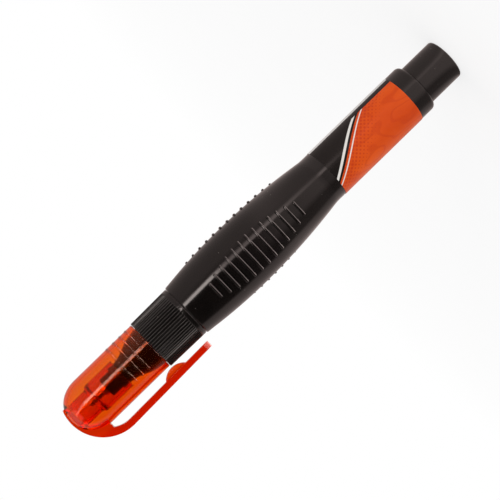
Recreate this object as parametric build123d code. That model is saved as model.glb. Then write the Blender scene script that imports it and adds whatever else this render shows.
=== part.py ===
from build123d import *
import math
import os

# Correction pen with a squeeze barrel, a spring valve tip and a clip cap, in millimetres.
# The pen stands on its tail. +Z runs along its axis towards the cap, the origin is the
# centre of the tail's flat end, the clip points to -X and the front is the -Y side.

# Fits that several pieces share
running_fit = 0.06
face_gap = 0.05
overrun = 1.0

# Tail plug: a hollow post with a shank that closes the rear of the barrel
shoulder_step = 1.24
post_length = 11.0
post_edge_round = 0.6
post_floor = 1.6
plug_wall = 1.25
socket_wall = 1.91
shank_length = 7.0

# Barrel: straight rear, swollen belly, plain neck under the collar
rear_r = 7.36
rear_length = 37.4
shoulder_round = 1.3
belly_rear_length = 28.6
belly_front_length = 20.3
belly_front_rise = 1.33
belly_front_step = 0.24
belly_front_round = 0.8
belly_blend_r = 14.0
barrel_wall = 1.2
throat_length = 3.0
neck_length = 10.0
neck_wall = 1.46

# Grip ribs on the belly, in three groups round it
rib_r = 0.43
rib_pitch = 2.56
rib_rows = 13
rib_groups = 3
rib_peak_offset = 3.55
rib_front_angle = -100.0
rib_middle_sweep = 67.0
rib_end_sweep = 33.0

# Label film on the straight rear
label_thickness = 0.1
label_start = 5.2
label_length = 29.0
label_seam_sweep = 8.0
label_seam_angle = 40.0

# Washer between neck and nose
seal_thickness = 0.8
seal_rim = 0.25

# Screw collar
collar_gap = 0.6
collar_wall = 0.98
collar_taper = 0.18
collar_rear_round = 0.45
collar_front_round = 0.2
collar_lip = 1.4
collar_band = 1.25
knurl_count = 60
knurl_depth = 0.36
knurl_root_width = 0.16
knurl_open_width = 0.5

# Nose: flange under the collar's lip, bell, ring that seals in the cap, snout
flange_thickness = 1.35
flange_step = 0.61
flange_rim = 0.05
nose_base_r = 6.0
nose_base_length = 0.5
cap_bead_proud = 0.2
cap_bead_section = 0.35
bell_length = 11.1
bell_front_r = 3.35
ring_proud = 0.15
ring_length = 1.2
snout_step = 0.6
snout_length = 3.5
snout_round = 0.35
chamber_r = 2.3
chamber_length = 10.0
funnel_rim = 1.1

# Metal tip
holder_wall = 0.52
holder_rim_proud = 0.22
holder_rim_length = 0.3
holder_top_wall = 0.12
holder_cone_length = 1.15
holder_recess_gap = 0.16
holder_recess_depth = 0.3
tube_r = 1.08
tube_wall = 0.36
tube_reach = 6.0
tube_round = 0.18
tube_lip = 0.55
tube_groove_depth = 0.09
tube_groove_width = 0.26
tube_rim_length = 0.5

# Valve needle, its carrier, the spring and the spring's seat
needle_r = 0.4
needle_reach = 0.45
needle_round = 0.15
needle_stop_gap = 0.1
needle_stop_length = 0.7
needle_grip = 1.6
carrier_flange_thickness = 1.0
carrier_stub_r = 1.05
carrier_stub_length = 1.4
carrier_nose_r = 0.95
carrier_nose_length = 1.6
carrier_flutes = 4
carrier_flute_r = 0.55
seat_thickness = 1.4
seat_bore_r = 0.85
spring_r = 1.55
spring_wire_r = 0.16
spring_turns = 5

# Mixing ball
ball_side_gap = 1.2
ball_gap = 0.1

# Cap: skirt, dome, sealing sleeve and low grip ridges
cap_gap = 0.1
cap_wall = 1.15
cap_fit = 0.08
cap_skirt_length = 20.8
cap_dome_height = 8.25
cap_mouth_round = 0.25
sleeve_wall = 0.94
sleeve_overlap = 1.0
sleeve_length = 9.5
sleeve_step = 0.9
sleeve_top_r = 3.7
sleeve_top_wall = 1.0
ridge_section = 0.45
ridge_proud = 0.14
ridge_offsets = (2.3, 4.4, 6.7, 9.1)
ridge_sweeps = (170.0, 250.0, 250.0, 250.0)

# Clip: a strip over the dome that bends down along the cap
clip_width = 4.4
clip_gap = 2.67
clip_thickness = 1.93
clip_end_thickness = 1.8
clip_lean = 0.6
clip_bend_r = 11.7
clip_inner_bend_r = 7.5
clip_proud = 0.12
clip_back_reach = 3.75
clip_slot_end = 4.3
clip_length = 29.1
clip_end_round = 1.9
bump_length = 7.4
bump_gap = 0.69
bump_width = 2.8
bump_offset = 0.1

# Heights along the axis, from the tail
shoulder_z = post_length
belly_start_z = shoulder_z + rear_length
belly_peak_z = belly_start_z + belly_rear_length
belly_end_z = belly_peak_z + belly_front_length
neck_top_z = belly_end_z + neck_length
flange_z = neck_top_z + seal_thickness
lip_z = flange_z + flange_thickness + face_gap
collar_rear_z = belly_end_z + collar_gap
collar_front_z = lip_z + collar_lip
bell_start_z = collar_front_z + nose_base_length
bell_end_z = bell_start_z + bell_length
snout_z = bell_end_z + ring_length
snout_end_z = snout_z + snout_length
tube_end_z = snout_end_z + tube_reach
stop_z = tube_end_z - tube_lip - face_gap
chamber_rear_z = bell_end_z - chamber_length
seat_top_z = chamber_rear_z + seat_thickness
carrier_front_z = bell_end_z - running_fit - needle_reach
carrier_flange_z = carrier_front_z - carrier_nose_length - carrier_flange_thickness
cap_mouth_z = collar_front_z + cap_gap
cap_dome_z = cap_mouth_z + cap_skirt_length
cap_end_z = cap_dome_z + cap_dome_height

# Radii that follow from a fit
post_r = rear_r - shoulder_step
shank_r = rear_r - socket_wall
post_bore_r = shank_r - plug_wall
ball_r = post_bore_r - ball_side_gap
flange_r = nose_base_r + flange_step
neck_r = flange_r + flange_rim
neck_bore_r = neck_r - neck_wall
collar_bore_r = neck_r + running_fit
collar_lip_r = nose_base_r + running_fit
collar_front_r = collar_bore_r + collar_wall
collar_rear_r = collar_front_r + collar_taper
belly_front_r = collar_rear_r + belly_front_step
belly_r = belly_front_r + belly_front_rise
cap_bead_r = nose_base_r + cap_bead_proud
cap_bore_r = cap_bead_r + cap_fit
cap_r = cap_bore_r + cap_wall
ring_r = bell_front_r + ring_proud
snout_r = ring_r - snout_step
sleeve_bore_r = ring_r + running_fit
sleeve_r = sleeve_bore_r + sleeve_wall
tube_bore_r = tube_r - tube_wall
holder_shank_r = tube_r + holder_wall
holder_rim_r = holder_shank_r + holder_rim_proud
holder_recess_r = tube_r + holder_recess_gap
holder_top_r = holder_recess_r + holder_top_wall
needle_stop_r = tube_bore_r - needle_stop_gap


def lathe(*edges, sweep_angle=360.0):
    """Turn a closed outline of (radius, height) points round the pen's axis."""
    return revolve(Plane.XZ * make_face(edges), Axis.Z, sweep_angle)


def rounded(face, *corners):
    """Round corners of a flat outline, each given as a point and a radius."""
    for point, radius in corners:
        nearest = face.vertices().sort_by_distance(point)[0]
        face = fillet(nearest, radius)
    return face


def spin(face):
    """Turn a flat outline, drawn as (radius, height), round the pen's axis."""
    return revolve(Plane.XZ * face, Axis.Z)


def two_arcs(start, start_way, end, end_way):
    """Two smooth arcs from one point to another, each point with its own heading."""
    across = end - start
    ways = start_way + end_way
    spread = 2 * (1 - start_way.dot(end_way))
    along = across.dot(ways)
    reach = (math.sqrt(along**2 + spread * across.dot(across)) - along) / spread
    middle = (start + end + (start_way - end_way) * reach) / 2
    middle_way = (end - end_way * reach - start - start_way * reach).normalized()
    first = TangentArc(start, middle, tangent=start_way)
    return [first, TangentArc(middle, end, tangent=middle_way)]


def belly_radius(height):
    """Outer radius of the belly, which is one arc behind its peak and one in front."""
    behind = height < belly_peak_z
    length = belly_rear_length if behind else belly_front_length
    drop = belly_r - (rear_r if behind else belly_front_r)
    arc_r = (length**2 + drop**2) / (2 * drop)
    return belly_r - arc_r + math.sqrt(arc_r**2 - (height - belly_peak_z) ** 2)


def tail_plug():
    shank_end_z = post_length + shank_length
    outline = make_face(
        Polyline(
            (0, 0),
            (post_r, 0),
            (post_r, post_length),
            (shank_r, post_length),
            (shank_r, shank_end_z),
            (post_bore_r, shank_end_z),
            (post_bore_r, post_floor),
            (0, post_floor),
            close=True,
        )
    )
    return spin(rounded(outline, ((post_r, 0), post_edge_round)))


def grip_rib(height, sweep_angle):
    """One half-round rib, lying along the belly from angle zero."""
    place = Pos(belly_radius(height), 0, height)
    return revolve(place * Rot(90, 0, 0) * Circle(rib_r), Axis.Z, sweep_angle)


def grip_ribs():
    """Every rib of every group; the ribs shorten towards both ends of a group."""
    ribs = []
    middle_row = (rib_rows - 1) / 2
    first_z = belly_peak_z - rib_peak_offset - middle_row * rib_pitch
    for row in range(rib_rows):
        share = abs(row - middle_row) / middle_row
        sweep_angle = rib_middle_sweep + (rib_end_sweep - rib_middle_sweep) * share**2
        rib = grip_rib(first_z + row * rib_pitch, sweep_angle)
        for group in range(rib_groups):
            turn = rib_front_angle + group * 360 / rib_groups - sweep_angle / 2
            ribs.append(Rot(0, 0, turn) * rib)
    return ribs


def barrel():
    inner_r = rear_r - barrel_wall
    socket_z = shoulder_z + shank_length + barrel_wall
    throat_z = belly_end_z - throat_length
    throat_r = belly_radius(throat_z) - barrel_wall
    inner_peak = (belly_r - barrel_wall, belly_peak_z)
    shoulder = (rear_r, shoulder_z)
    belly_start = (rear_r, belly_start_z)
    belly_peak = (belly_r, belly_peak_z)
    belly_end = (belly_front_r, belly_end_z)
    outline = make_face(
        [
            Polyline((inner_r, belly_start_z), (inner_r, socket_z), (shank_r, socket_z - barrel_wall)),
            Polyline((shank_r, socket_z - barrel_wall), (shank_r, shoulder_z), shoulder, belly_start),
            TangentArc(belly_peak, belly_start, tangent=(0, -1)),
            TangentArc(belly_peak, belly_end, tangent=(0, 1)),
            Polyline(belly_end, (neck_r, belly_end_z), (neck_r, neck_top_z), (neck_bore_r, neck_top_z)),
            Polyline((neck_bore_r, neck_top_z), (neck_bore_r, belly_end_z), (throat_r, throat_z)),
            TangentArc(inner_peak, (throat_r, throat_z), tangent=(0, 1)),
            TangentArc(inner_peak, (inner_r, belly_start_z), tangent=(0, -1)),
        ]
    )
    outline = rounded(
        outline,
        (shoulder, shoulder_round),
        (belly_start, belly_blend_r),
        (belly_end, belly_front_round),
    )
    return spin(outline) + grip_ribs()


def label():
    """Thin film round the rear of the barrel, with a narrow seam where its ends meet."""
    bottom_z = shoulder_z + label_start
    film = Polyline(
        (rear_r, bottom_z),
        (rear_r + label_thickness, bottom_z),
        (rear_r + label_thickness, bottom_z + label_length),
        (rear_r, bottom_z + label_length),
        close=True,
    )
    return Rot(0, 0, label_seam_angle) * lathe(film, sweep_angle=360 - label_seam_sweep)


def neck_seal():
    washer = Polyline(
        (neck_bore_r, neck_top_z),
        (neck_r - seal_rim, neck_top_z),
        (neck_r - seal_rim, flange_z),
        (neck_bore_r, flange_z),
        close=True,
    )
    return lathe(washer)


def knurled_collar():
    """Screw collar with a front lip and straight grooves that stop at a smooth rear band."""
    rear = (collar_rear_r, collar_rear_z)
    front = (collar_front_r, collar_front_z)
    outline = make_face(
        Polyline(
            (collar_bore_r, collar_rear_z),
            rear,
            front,
            (collar_lip_r, collar_front_z),
            (collar_lip_r, lip_z),
            (collar_bore_r, lip_z),
            close=True,
        )
    )
    blank = spin(rounded(outline, (rear, collar_rear_round), (front, collar_front_round)))
    root_r = collar_front_r - knurl_depth
    open_r = collar_rear_r + overrun
    flare = (knurl_open_width - knurl_root_width) / knurl_depth
    open_width = knurl_root_width + flare * (open_r - root_r)
    groove_section = make_face(
        Polyline(
            (root_r, -knurl_root_width / 2),
            (open_r, -open_width / 2),
            (open_r, open_width / 2),
            (root_r, knurl_root_width / 2),
            close=True,
        )
    )
    groove_z = collar_rear_z + collar_band
    groove = Pos(0, 0, groove_z) * extrude(groove_section, collar_front_z + overrun - groove_z)
    return blank - [Rot(0, 0, step * 360 / knurl_count) * groove for step in range(knurl_count)]


def nose_cone():
    bell_middle = ((nose_base_r + bell_front_r) / 2, bell_start_z + bell_length / 2)
    bead_z = bell_start_z + cap_bead_section
    snout_end = (snout_r, snout_end_z)
    outline = make_face(
        [
            Polyline(
                (chamber_r, chamber_rear_z),
                (neck_bore_r - funnel_rim, flange_z),
                (flange_r, flange_z),
                (flange_r, flange_z + flange_thickness),
                (nose_base_r, flange_z + flange_thickness),
                (nose_base_r, bell_start_z),
            ),
            TangentArc((nose_base_r, bell_start_z), bell_middle, tangent=(0, 1)),
            TangentArc((bell_front_r, bell_end_z), bell_middle, tangent=(0, -1)),
            Polyline(
                (bell_front_r, bell_end_z),
                (ring_r, bell_end_z),
                (ring_r, snout_z),
                (snout_r, snout_z),
                snout_end,
                (holder_shank_r, snout_end_z),
                (holder_shank_r, bell_end_z),
                (chamber_r, bell_end_z),
                (chamber_r, chamber_rear_z),
            ),
        ]
    )
    bead = Pos(cap_bead_r - cap_bead_section, bead_z) * Circle(cap_bead_section)
    return spin(rounded(outline, (snout_end, snout_round))) + spin(bead)


def tip_holder():
    """Bright bush pressed into the snout, with a short cone round the tube."""
    rim_z = snout_end_z + holder_rim_length
    top_z = rim_z + holder_cone_length
    outline = [
        Polyline(
            (holder_top_r, top_z),
            (holder_recess_r, top_z),
            (holder_recess_r, top_z - holder_recess_depth),
            (tube_r, top_z - holder_recess_depth),
            (tube_r, bell_end_z),
            (holder_shank_r, bell_end_z),
            (holder_shank_r, snout_end_z),
            (holder_rim_r, snout_end_z),
            (holder_rim_r, rim_z),
        ),
        TangentArc((holder_rim_r, rim_z), (holder_top_r, top_z), tangent=(0, 1)),
    ]
    return lathe(*outline)


def tip_tube():
    """Steel tube with a rolled rim and a narrow mouth for the needle."""
    mouth_r = needle_r + running_fit
    groove_z = tube_end_z - tube_rim_length
    groove_r = tube_r - tube_groove_depth
    rim = (tube_r, tube_end_z)
    outline = make_face(
        Polyline(
            (tube_bore_r, bell_end_z),
            (tube_r, bell_end_z),
            (tube_r, groove_z - tube_groove_width),
            (groove_r, groove_z - tube_groove_width),
            (groove_r, groove_z),
            (tube_r, groove_z),
            rim,
            (mouth_r, tube_end_z),
            (mouth_r, tube_end_z - tube_lip),
            (tube_bore_r, tube_end_z - tube_lip),
            close=True,
        )
    )
    return spin(rounded(outline, (rim, tube_round)))


def valve_needle():
    """Steel pin with a stop that closes the tube's mouth from inside."""
    tip = (needle_r, tube_end_z + needle_reach)
    tail_z = carrier_front_z - needle_grip
    outline = make_face(
        Polyline(
            (0, tail_z),
            (needle_r, tail_z),
            (needle_r, stop_z - needle_stop_length),
            (needle_stop_r, stop_z - needle_stop_length),
            (needle_stop_r, stop_z),
            (needle_r, stop_z),
            tip,
            (0, tip[1]),
            close=True,
        )
    )
    return spin(rounded(outline, (tip, needle_round)))


def needle_carrier():
    """Fluted slider that grips the needle and takes the spring's push."""
    flange_r = chamber_r - running_fit
    flange_top_z = carrier_flange_z + carrier_flange_thickness
    stub_z = carrier_flange_z - carrier_stub_length
    socket_z = carrier_front_z - needle_grip
    outline = Polyline(
        (0, stub_z),
        (carrier_stub_r, stub_z),
        (carrier_stub_r, carrier_flange_z),
        (flange_r, carrier_flange_z),
        (flange_r, flange_top_z),
        (carrier_nose_r, flange_top_z),
        (carrier_nose_r, carrier_front_z),
        (needle_r, carrier_front_z),
        (needle_r, socket_z),
        (0, socket_z),
        close=True,
    )
    flute_z = carrier_flange_z + carrier_flange_thickness / 2
    flute = Pos(flange_r, 0, flute_z) * Cylinder(carrier_flute_r, carrier_flange_thickness + overrun)
    turns = [step * 360 / carrier_flutes for step in range(carrier_flutes)]
    return lathe(outline) - [Rot(0, 0, turn) * flute for turn in turns]


def spring_seat():
    ring = Polyline(
        (seat_bore_r, chamber_rear_z),
        (chamber_r, chamber_rear_z),
        (chamber_r, seat_top_z),
        (seat_bore_r, seat_top_z),
        close=True,
    )
    return lathe(ring)


def valve_spring():
    """Coil between the seat and the carrier, one wire from end to end."""
    bottom_z = seat_top_z + spring_wire_r + face_gap
    rise = carrier_flange_z - spring_wire_r - face_gap - bottom_z
    quarters = 4 * spring_turns
    points = []
    ways = []
    for step in range(quarters + 1):
        angle = step * math.pi / 2
        height = bottom_z + rise * step / quarters
        points.append(Vector(spring_r * math.cos(angle), spring_r * math.sin(angle), height))
        climb = rise / (spring_turns * 2 * math.pi)
        ways.append(Vector(-spring_r * math.sin(angle), spring_r * math.cos(angle), climb).normalized())
    arcs = []
    for step in range(quarters):
        arcs += two_arcs(points[step], ways[step], points[step + 1], ways[step + 1])
    section = Plane(origin=points[0], z_dir=ways[0]) * Circle(spring_wire_r)
    turn_gap = min(points[step + 4].Z - points[step].Z for step in range(quarters - 3))
    print("least gap between the spring's turns", round(turn_gap - 2 * spring_wire_r, 3))
    return sweep(section, path=Wire(arcs))


def mixing_ball():
    return Pos(0, 0, post_floor + ball_gap + ball_r) * Sphere(ball_r)


def dome_outline(radius, bottom_z, height):
    """Solid outline of the cap or its cavity: a straight skirt with a rounded dome."""
    side = Vector(radius, cap_dome_z)
    end = Vector(0, cap_dome_z + height)
    skirt = Polyline(end, (0, bottom_z), (radius, bottom_z), side)
    return [skirt] + two_arcs(side, Vector(0, 1), end, Vector(-1, 0))


def clip():
    """Strip from the back of the dome over its end and down beside the cap, with its bump."""
    side = Plane(origin=(0, 0, 0), x_dir=(-1, 0, 0), z_dir=(0, 1, 0))
    outer_x = cap_r + clip_gap + clip_thickness
    inner_x = cap_r + clip_gap
    centre_x = outer_x - clip_bend_r
    bend_z = cap_end_z + clip_proud - clip_bend_r
    end_z = bend_z - clip_length
    slot_z = bend_z + clip_slot_end
    back_drop = math.sqrt(clip_bend_r**2 - (clip_back_reach + centre_x) ** 2)
    slot_x = inner_x - clip_inner_bend_r + math.sqrt(clip_inner_bend_r**2 - clip_slot_end**2)
    back = (-clip_back_reach, bend_z + back_drop)
    end_x = outer_x - clip_lean
    outline = make_face(
        [
            TangentArc((outer_x, bend_z), back, tangent=(0, 1)),
            Polyline(
                (outer_x, bend_z),
                (end_x, end_z),
                (end_x - clip_end_thickness, end_z),
                (inner_x, bend_z),
            ),
            TangentArc((inner_x, bend_z), (slot_x, slot_z), tangent=(0, 1)),
            Polyline((slot_x, slot_z), (-clip_back_reach, slot_z), back),
        ]
    )
    strip = side * extrude(outline, clip_width / 2, both=True)
    end_edges = strip.edges().filter_by(Axis.X).group_by(Axis.Z)[0]
    strip = fillet(end_edges, clip_end_round)
    bump_z = cap_mouth_z + bump_offset
    lean_share = (bend_z - bump_z) / clip_length
    bump_x = inner_x - (clip_lean + clip_end_thickness - clip_thickness) * lean_share
    bump_root_x = bump_x + clip_thickness / 2
    bump_outline = make_face(
        [
            ThreePointArc(
                (bump_x, bump_z - bump_length / 2),
                (cap_r + bump_gap, bump_z),
                (bump_x, bump_z + bump_length / 2),
            ),
            Polyline(
                (bump_x, bump_z + bump_length / 2),
                (bump_root_x, bump_z + bump_length / 2),
                (bump_root_x, bump_z - bump_length / 2),
                (bump_x, bump_z - bump_length / 2),
            ),
        ]
    )
    return strip + side * extrude(bump_outline, bump_width / 2, both=True)


def grip_ridges():
    """Low ridges round the side of the cap that faces away from the clip."""
    ridges = []
    for offset, sweep_angle in zip(ridge_offsets, ridge_sweeps):
        place = Pos(cap_r + ridge_proud - ridge_section, 0, cap_mouth_z + offset)
        ring = revolve(place * Rot(90, 0, 0) * Circle(ridge_section), Axis.Z, sweep_angle)
        ridges.append(Rot(0, 0, -sweep_angle / 2) * ring)
    return ridges


def sealing_sleeve():
    """Inner tube of the cap that slides over the nose's ring, narrower above its step."""
    mouth_z = bell_end_z - sleeve_overlap
    step_z = mouth_z + sleeve_length
    top_bore_r = sleeve_top_r - sleeve_top_wall
    outline = Polyline(
        (sleeve_bore_r, mouth_z),
        (sleeve_r, mouth_z),
        (sleeve_r, step_z),
        (sleeve_top_r, step_z + sleeve_step),
        (sleeve_top_r, cap_end_z),
        (top_bore_r, cap_end_z),
        (top_bore_r, step_z),
        (sleeve_bore_r, step_z - sleeve_step),
        close=True,
    )
    return lathe(outline)


def cap():
    shell = lathe(*dome_outline(cap_r, cap_mouth_z, cap_dome_height))
    cavity = lathe(*dome_outline(cap_bore_r, cap_mouth_z - overrun, cap_dome_height - cap_wall))
    sleeve = sealing_sleeve() & shell
    mouth_edge = shell.edges().group_by(Axis.Z)[0]
    rounded_shell = fillet(mouth_edge, cap_mouth_round)
    return rounded_shell + clip() + grip_ridges() - cavity + sleeve


pieces = {
    "tail_plug": tail_plug,
    "barrel": barrel,
    "label": label,
    "neck_seal": neck_seal,
    "knurled_collar": knurled_collar,
    "nose_cone": nose_cone,
    "tip_holder": tip_holder,
    "tip_tube": tip_tube,
    "valve_needle": valve_needle,
    "needle_carrier": needle_carrier,
    "spring_seat": spring_seat,
    "valve_spring": valve_spring,
    "mixing_ball": mixing_ball,
    "cap": cap,
}

os.makedirs("parts", exist_ok=True)
for name, make in pieces.items():
    export_step(make(), "parts/" + name + ".step")
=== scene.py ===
# %% [markdown]
# # A correction pen: squeeze barrel, spring valve tip and clip cap
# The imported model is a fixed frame. Every piece below is made in metres where that frame has
# it, and then rides on one of its bodies, so the pen still comes apart as the real one does.
# Outlines are written in millimetres, as a maker would read them off a drawing.

# %% Load the frame and keep its box
import math

import bmesh
import bpy
from mathutils import Matrix, Vector


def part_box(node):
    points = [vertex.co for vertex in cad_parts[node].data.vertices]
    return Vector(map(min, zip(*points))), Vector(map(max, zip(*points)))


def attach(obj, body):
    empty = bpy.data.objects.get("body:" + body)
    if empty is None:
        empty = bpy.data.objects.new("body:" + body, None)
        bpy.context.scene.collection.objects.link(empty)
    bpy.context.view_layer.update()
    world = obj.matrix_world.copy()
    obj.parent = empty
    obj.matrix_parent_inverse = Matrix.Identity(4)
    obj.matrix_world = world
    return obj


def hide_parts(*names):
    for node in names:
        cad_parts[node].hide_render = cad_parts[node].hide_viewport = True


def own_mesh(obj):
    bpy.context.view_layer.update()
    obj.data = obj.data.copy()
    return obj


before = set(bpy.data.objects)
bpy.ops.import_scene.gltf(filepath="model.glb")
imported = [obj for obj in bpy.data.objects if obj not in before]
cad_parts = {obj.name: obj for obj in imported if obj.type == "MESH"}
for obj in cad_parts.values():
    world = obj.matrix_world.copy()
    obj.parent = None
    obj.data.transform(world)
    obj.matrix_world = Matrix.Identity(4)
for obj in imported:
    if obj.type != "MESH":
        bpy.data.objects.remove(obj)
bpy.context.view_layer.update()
mm = 0.001

# %% [markdown]
# ## Measures from the frame
# The frame already knows where each piece begins and ends along the pen. Reading those heights,
# and not typing them again, keeps the looks on the construction if the construction changes.

# %% Heights along the pen, in millimetres from the tail
cap_seat_gap = 0.1


def heights(node):
    """Lowest and highest point of a CAD node along the pen, in millimetres."""
    low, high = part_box(node)
    return low.z / mm, high.z / mm


tail_low, shank_high = heights("tail_plug")
shoulder_z, neck_top_z = heights("barrel")
label_low, label_high = heights("label")
collar_low, collar_high = heights("knurled_collar")
flange_z = heights("neck_seal")[1]
snout_high = heights("nose_cone")[1]
bell_high, holder_high = heights("tip_holder")
tube_high = heights("tip_tube")[1]
needle_low, needle_high = heights("valve_needle")
seat_low, seat_high = heights("spring_seat")
carrier_low = heights("needle_carrier")[0]
cap_mouth_z = collar_high + cap_seat_gap
clip_low, clip_high = heights("cap")
print("collar from", round(collar_low, 2), "to", round(collar_high, 2), "mm")

# %% [markdown]
# ## Outlines with round corners
# Nearly every piece of a pen is round, so it starts as half of its cross-section: a list of radii
# and heights. Real mouldings have no sharp edges, and it is the small rounds that catch the light,
# so a corner may carry a third number, and the helper puts an arc of that radius there.

# %% Outlines
arc_steps = 6


def outline(*corners):
    """Points of a closed (radius, height) outline; a third number on a corner rounds it."""
    points = []
    for index, corner in enumerate(corners):
        here = Vector(corner[:2])
        if len(corner) == 2:
            points.append(here)
            continue
        before = (Vector(corners[index - 1][:2]) - here).normalized()
        after = (Vector(corners[(index + 1) % len(corners)][:2]) - here).normalized()
        half = before.angle(after) / 2
        centre = here + (before + after).normalized() * corner[2] / math.sin(half)
        start = here + before * corner[2] / math.tan(half) - centre
        end = here + after * corner[2] / math.tan(half) - centre
        first = math.atan2(start.y, start.x)
        turn = math.remainder(math.atan2(end.y, end.x) - first, math.tau)
        for step in range(arc_steps + 1):
            angle = first + turn * step / arc_steps
            points.append(centre + Vector((math.cos(angle), math.sin(angle))) * corner[2])
    return points


def between(low, high, count):
    """Places spread evenly inside a range, its ends left out."""
    return [low + (high - low) * step / (count + 1) for step in range(1, count + 1)]


print("corner arcs have", arc_steps, "steps")

# %% [markdown]
# ## Lathe work
# One helper turns an outline about the axis, as a lathe does. Blender's Screw modifier can do that
# too, but building the rings by hand closes the poles and the seam with no doubles to merge.

# %% Turning an outline
turn_steps = 192


def placed(name, shape):
    """Turns a bmesh into an object at the origin, with its faces pointing outwards."""
    bmesh.ops.recalc_face_normals(shape, faces=shape.faces)
    mesh = bpy.data.meshes.new(name)
    shape.to_mesh(mesh)
    shape.free()
    piece = bpy.data.objects.new(name, mesh)
    bpy.context.scene.collection.objects.link(piece)
    return piece


def turned(name, points, steps=turn_steps, start=0.0, sweep=math.tau):
    """Turns an outline about the pen's axis; a part turn gets a face at each end."""
    shape = bmesh.new()
    whole = sweep == math.tau
    angles = [start + sweep * step / steps for step in range(steps if whole else steps + 1)]
    rings = []
    for point in points:
        radius, height = point[0] * mm, point[1] * mm
        if radius == 0:
            rings.append([shape.verts.new((0, 0, height))] * len(angles))
        else:
            ring = [(radius * math.cos(a), radius * math.sin(a), height) for a in angles]
            rings.append([shape.verts.new(place) for place in ring])
    for lower, upper in zip(rings, rings[1:] + rings[:1]):
        for step in range(steps):
            after = (step + 1) % len(angles)
            corners = dict.fromkeys((lower[step], lower[after], upper[after], upper[step]))
            if len(corners) > 2:
                shape.faces.new(corners)
    if not whole:
        shape.faces.new([ring[0] for ring in rings])
        shape.faces.new([ring[-1] for ring in rings])
    return placed(name, shape)


print("a full turn has", turn_steps, "steps")

# %% [markdown]
# ## Finishing a piece
# Smooth shading makes the turned faces look round, and edges past a limit stay crisp. A finished
# piece gets its material, rides on its body and stands in for the CAD nodes that it covers.

# %% Shading and dressing
crisp_limit = 32.0


def smooth(piece, limit=crisp_limit):
    """Shades a piece smooth, with edges sharper than the limit, in degrees, kept crisp."""
    for face in piece.data.polygons:
        face.use_smooth = True
    piece.data.set_sharp_from_angle(angle=math.radians(limit))
    return piece


def dress(piece, finish, body, slot, *nodes):
    """Gives a piece its finish and body, and lets it stand for the CAD nodes named."""
    piece.data.materials.clear()
    piece.data.materials.append(finish)
    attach(piece, body)
    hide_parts(*nodes)
    print(piece.name, len(piece.data.polygons), "faces on", body)


print("edges past", crisp_limit, "degrees stay crisp")

# %% [markdown]
# ## Small helpers for node trees
# Materials and Geometry Nodes trees are both graphs of nodes. These helpers add a node, feed a
# socket with a value or a link, and do sums, so that each finish below reads like a recipe.

# %% Nodes and sums
def add(tree, kind, **fields):
    """Adds a node and sets its fields."""
    made = tree.nodes.new(kind)
    for name, value in fields.items():
        setattr(made, name, value)
    return made


def feed(tree, socket, value):
    """Links a socket to another one, or sets it to a plain value."""
    if isinstance(value, bpy.types.NodeSocket):
        tree.links.new(value, socket)
    else:
        socket.default_value = value


def calc(tree, operation, *values):
    """A Math node's result."""
    made = add(tree, "ShaderNodeMath", operation=operation)
    for socket, value in zip(made.inputs, values):
        feed(tree, socket, value)
    return made.outputs[0]


print("made the helpers add, feed and calc")

# %% [markdown]
# ## Sums that come up often
# Long products, the parts of a place, a length in the flat, a ramp between two values and a mix of
# two colours turn up in nearly every tree. Blender has a node for most of them; a helper saves the
# wiring.

# %% Products, ramps and mixes
def product(tree, first, *others):
    """Values multiplied one after the other."""
    result = first
    for value in others:
        result = calc(tree, "MULTIPLY", result, value)
    return result


def parts_of(tree, place):
    """The x, y and z of a place."""
    made = add(tree, "ShaderNodeSeparateXYZ")
    tree.links.new(place, made.inputs[0])
    return made.outputs


def flat_length(tree, x, y):
    """How far a flat step goes."""
    squares = calc(tree, "ADD", product(tree, x, x), product(tree, y, y))
    return calc(tree, "SQRT", squares)


def ease(tree, value, low, high, bottom=0.0, top=1.0):
    """Maps a value from one range to another, held at both ends."""
    made = add(tree, "ShaderNodeMapRange")
    for socket, given in zip(made.inputs, (value, low, high, bottom, top)):
        feed(tree, socket, given)
    return made.outputs[0]


def blend(tree, share, first, second):
    """A colour between two others."""
    made = add(tree, "ShaderNodeMix", data_type="RGBA")
    feed(tree, made.inputs["Factor"], share)
    feed(tree, made.inputs["A"], first)
    feed(tree, made.inputs["B"], second)
    return made.outputs["Result"]


print("made the helpers product, parts_of, flat_length, ease and blend")

# %% [markdown]
# ## What every finish is made of
# Each finish starts from a Principled shader and the piece's own Object coordinates, which stay
# with the piece when it moves. Noise gives the drift of colour and gloss that a real surface has,
# and a Bump node turns noise into a fine relief.

# %% Noise, clouds and relief
cloud_edges = (0.3, 0.7)


def new_finish(name):
    """A material, its tree, its shader and its Object coordinates."""
    finish = bpy.data.materials.new(name)
    finish.use_nodes = True
    tree = finish.node_tree
    place = add(tree, "ShaderNodeTexCoord").outputs["Object"]
    return finish, tree, tree.nodes["Principled BSDF"], place


def noise(tree, place, scale, detail=2.0, stretch=(1, 1, 1)):
    """Cloudy noise at a scale per metre, stretched along the pen's axes."""
    mapping = add(tree, "ShaderNodeMapping")
    feed(tree, mapping.inputs["Vector"], place)
    mapping.inputs["Scale"].default_value = stretch
    made = add(tree, "ShaderNodeTexNoise")
    feed(tree, made.inputs["Vector"], mapping.outputs[0])
    made.inputs["Scale"].default_value = scale
    made.inputs["Detail"].default_value = detail
    return made.outputs["Fac"]


def clouds(tree, place, scale, detail=3.0, low=0.0, high=1.0):
    """Noise spread from one value to another over the middle of its range."""
    return ease(tree, noise(tree, place, scale, detail), *cloud_edges, low, high)


def relief(tree, shader, height, depth):
    """Bump from a height of 0 to 1, as deep as given in metres."""
    raised = add(tree, "ShaderNodeBump")
    feed(tree, raised.inputs["Height"], height)
    raised.inputs["Distance"].default_value = depth
    raised.inputs["Strength"].default_value = 1.0
    tree.links.new(raised.outputs[0], shader.inputs["Normal"])


print("clouds run over", cloud_edges, "of the noise")

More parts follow.
